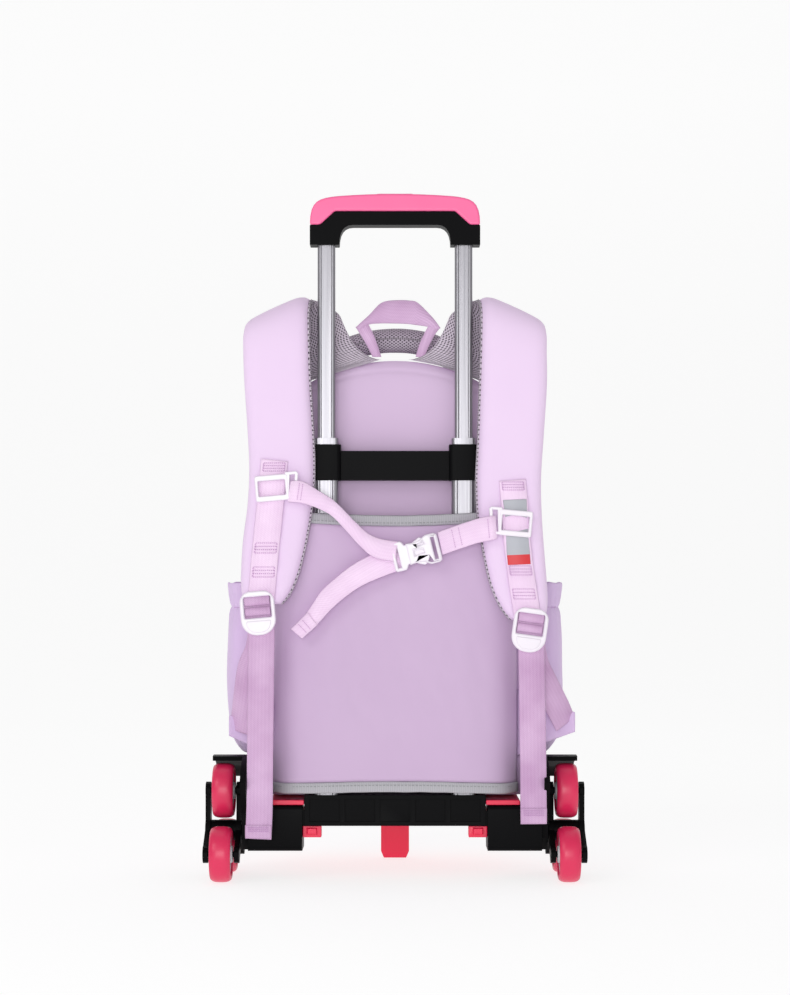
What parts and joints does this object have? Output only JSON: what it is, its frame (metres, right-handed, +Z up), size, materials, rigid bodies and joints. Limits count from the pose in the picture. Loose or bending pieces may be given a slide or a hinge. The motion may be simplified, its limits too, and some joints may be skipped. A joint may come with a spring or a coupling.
{
  "type": "wheeled backpack",
  "caption": "Child's lilac backpack on a telescopic trolley with a pink handle, padded straps and stair-climbing wheel sets.",
  "frame": {"origin": "middle of the object's box, on the floor", "axes": "+Z up, -Y towards the wearer's back (the harness side), +X to the right of a viewer who looks at the harness side"},
  "size_m": [0.3664, 0.2228, 0.6599],
  "materials": {
    "lilac_fabric": "matte",
    "webbing": "satin",
    "spacer_mesh": "matte",
    "binding_fabric": "matte",
    "label_fabric": "satin",
    "black_plastic": "satin",
    "white_plastic": "gloss",
    "handle_plastic": "satin",
    "tray_plastic": "satin",
    "hub_plastic": "satin",
    "tyre_rubber": "satin",
    "tube_metal": "satin"
  },
  "bodies": {
    "root": {"outer_tube_left": "tube_metal", "outer_tube_right": "tube_metal", "bridge": "black_plastic", "base_housing": "black_plastic", "fender_left": "black_plastic", "fender_right": "black_plastic", "tray": "tray_plastic", "latch_left": "tray_plastic", "latch_right": "tray_plastic", "back_shell": "lilac_fabric", "front_shell": "lilac_fabric", "back_panel": "lilac_fabric", "sleeve_panel": "lilac_fabric", "pocket_left": "lilac_fabric", "pocket_right": "lilac_fabric", "strap_pad_left": "lilac_fabric", "strap_pad_right": "lilac_fabric", "wing_left": "lilac_fabric", "wing_right": "lilac_fabric", "zip": "webbing", "strap_webbing_left": "webbing", "strap_webbing_right": "webbing", "lower_webbing_left": "webbing", "lower_webbing_right": "webbing", "sternum_webbing_left": "webbing", "sternum_webbing_right": "webbing", "webbing_loop": "webbing", "strap_mesh_left": "spacer_mesh", "strap_mesh_right": "spacer_mesh", "grab_handle": "spacer_mesh", "sleeve_binding_top": "binding_fabric", "sleeve_binding_bottom": "binding_fabric", "ladder_lock_left": "white_plastic", "ladder_lock_right": "white_plastic", "sternum_slider_left": "white_plastic", "sternum_slider_right": "white_plastic", "buckle_male": "white_plastic", "buckle_female": "white_plastic", "label": "label_fabric"},
    "mid_stage": {"mid_tube_left": "tube_metal", "mid_tube_right": "tube_metal"},
    "handle": {"inner_tube_left": "tube_metal", "inner_tube_right": "tube_metal", "handle_grip": "black_plastic", "handle_cover": "handle_plastic"},
    "button": {"push_button": "handle_plastic"},
    "star_set_left": {"star_left": "black_plastic"},
    "star_set_right": {"star_right": "black_plastic"},
    "wheel_set_left_1": {"wheel_left_1": "hub_plastic", "tyre_left_1": "tyre_rubber"},
    "wheel_set_left_2": {"wheel_left_2": "hub_plastic", "tyre_left_2": "tyre_rubber"},
    "wheel_set_left_3": {"wheel_left_3": "hub_plastic", "tyre_left_3": "tyre_rubber"},
    "wheel_set_right_1": {"wheel_right_1": "hub_plastic", "tyre_right_1": "tyre_rubber"},
    "wheel_set_right_2": {"wheel_right_2": "hub_plastic", "tyre_right_2": "tyre_rubber"},
    "wheel_set_right_3": {"wheel_right_3": "hub_plastic", "tyre_right_3": "tyre_rubber"}
  },
  "joints": [
    {"name": "mid_stage_slide", "type": "slide", "parent": "root", "child": "mid_stage", "axis": [0, 0, 1], "range_m": [0, 0.19]},
    {"name": "handle_slide", "type": "slide", "parent": "mid_stage", "child": "handle", "axis": [0, 0, 1], "range_m": [-0.185, 0]},
    {"name": "button_press", "type": "slide", "parent": "handle", "child": "button", "axis": [0, 0, -1], "range_m": [0, 0.003], "stiffness_N_per_m": 600, "springref_m": -0.001},
    {"name": "star_turn_left", "type": "hinge", "parent": "root", "child": "star_set_left", "pos_m": [-0.1658, -0.05162, 0.0457], "axis": [1, 0, 0], "continuous": true},
    {"name": "wheel_turn_left_1", "type": "hinge", "parent": "star_set_left", "child": "wheel_set_left_1", "pos_m": [-0.1658, -0.05162, 0.0841], "axis": [1, 0, 0], "continuous": true},
    {"name": "wheel_turn_left_2", "type": "hinge", "parent": "star_set_left", "child": "wheel_set_left_2", "pos_m": [-0.1658, -0.08488, 0.0265], "axis": [1, 0, 0], "continuous": true},
    {"name": "wheel_turn_left_3", "type": "hinge", "parent": "star_set_left", "child": "wheel_set_left_3", "pos_m": [-0.1658, -0.01837, 0.0265], "axis": [1, 0, 0], "continuous": true},
    {"name": "star_turn_right", "type": "hinge", "parent": "root", "child": "star_set_right", "pos_m": [0.1658, -0.05162, 0.0457], "axis": [1, 0, 0], "continuous": true},
    {"name": "wheel_turn_right_1", "type": "hinge", "parent": "star_set_right", "child": "wheel_set_right_1", "pos_m": [0.1658, -0.05162, 0.0841], "axis": [1, 0, 0], "continuous": true},
    {"name": "wheel_turn_right_2", "type": "hinge", "parent": "star_set_right", "child": "wheel_set_right_2", "pos_m": [0.1658, -0.08488, 0.0265], "axis": [1, 0, 0], "continuous": true},
    {"name": "wheel_turn_right_3", "type": "hinge", "parent": "star_set_right", "child": "wheel_set_right_3", "pos_m": [0.1658, -0.01837, 0.0265], "axis": [1, 0, 0], "continuous": true}
  ]
}
